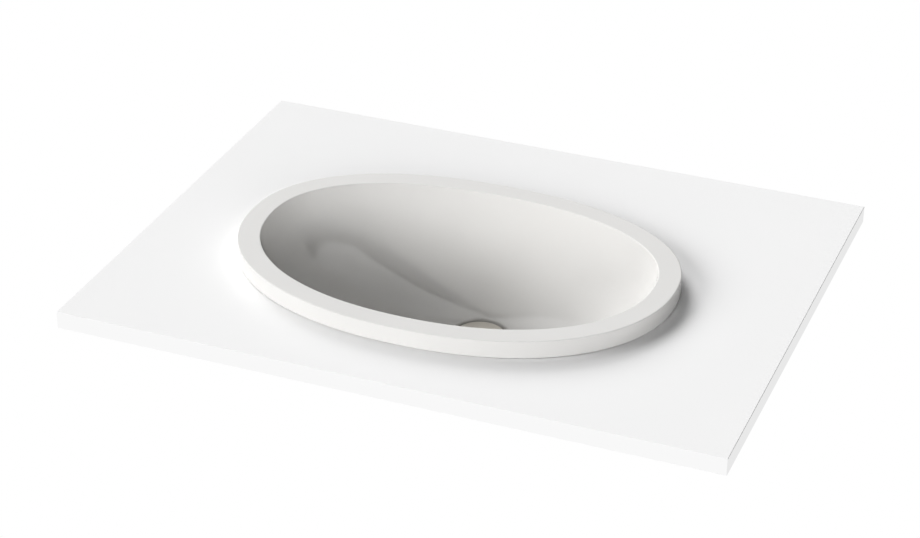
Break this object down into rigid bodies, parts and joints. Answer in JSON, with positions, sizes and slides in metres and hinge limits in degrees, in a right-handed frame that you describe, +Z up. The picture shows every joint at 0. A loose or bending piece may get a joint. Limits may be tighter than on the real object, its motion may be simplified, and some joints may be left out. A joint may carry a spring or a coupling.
{
  "type": "inset basin",
  "caption": "Oval inset wash basin with a flat upstanding rim, a set-back drain, a push-to-open waste and clamps that hold it in a counter cut-out.",
  "frame": {"origin": "middle of the rim's oval, on the plane of the counter's top", "axes": "+X to the right along the basin, +Y to the back, +Z up"},
  "size_m": [0.5, 0.342, 0.223],
  "materials": {
    "glazed_ware": "smooth glaze",
    "seal_rubber": "matte",
    "black_rubber": "matte",
    "foam_rubber": "matte",
    "brass": "machined",
    "waste_metal": "nickel plated",
    "cap_metal": "satin nickel",
    "plated_steel": "zinc plated",
    "spring_steel": "drawn wire",
    "white_plastic": "satin",
    "grey_plastic": "satin",
    "nut_plastic": "satin"
  },
  "bodies": {
    "basin": {"basin_shell": "glazed_ware", "rim_seal": "seal_rubber", "threaded_inserts": "brass", "clamp_studs": "plated_steel", "clamp_washers": "plated_steel", "wing_nuts": "plated_steel", "waste_body": "waste_metal", "flange_gasket": "foam_rubber", "cone_washer": "black_rubber", "slip_washer": "white_plastic", "back_nut": "nut_plastic", "cartridge_housing": "grey_plastic", "cartridge_cap": "white_plastic", "return_spring": "spring_steel"},
    "plug": {"plug_cap": "cap_metal", "plug_seal": "black_rubber", "seal_retainer": "waste_metal", "plunger": "white_plastic", "ratchet_ring": "nut_plastic"},
    "clamp_back_right": {"clamp_bar_back_right": "plated_steel", "clamp_pad_back_right": "black_rubber"},
    "clamp_back_left": {"clamp_bar_back_left": "plated_steel", "clamp_pad_back_left": "black_rubber"},
    "clamp_front_left": {"clamp_bar_front_left": "plated_steel", "clamp_pad_front_left": "black_rubber"},
    "clamp_front_right": {"clamp_bar_front_right": "plated_steel", "clamp_pad_front_right": "black_rubber"}
  },
  "joints": [
    {"name": "plug_lift", "type": "slide", "parent": "basin", "child": "plug", "axis": [0, 0, 1], "range_m": [0, 0.009], "deforming": ["return_spring"]},
    {"name": "clamp_swing_back_right", "type": "hinge", "parent": "basin", "child": "clamp_back_right", "pos_m": [0.21356, 0.07412, -0.0238], "axis": [0, 0, 1], "range_deg": [-90, 0]},
    {"name": "clamp_swing_back_left", "type": "hinge", "parent": "basin", "child": "clamp_back_left", "pos_m": [-0.21356, 0.07412, -0.0238], "axis": [0, 0, 1], "range_deg": [0, 90]},
    {"name": "clamp_swing_front_left", "type": "hinge", "parent": "basin", "child": "clamp_front_left", "pos_m": [-0.12433, -0.13124, -0.0238], "axis": [0, 0, 1], "range_deg": [-90, 0]},
    {"name": "clamp_swing_front_right", "type": "hinge", "parent": "basin", "child": "clamp_front_right", "pos_m": [0.12433, -0.13124, -0.0238], "axis": [0, 0, 1], "range_deg": [0, 90]}
  ]
}
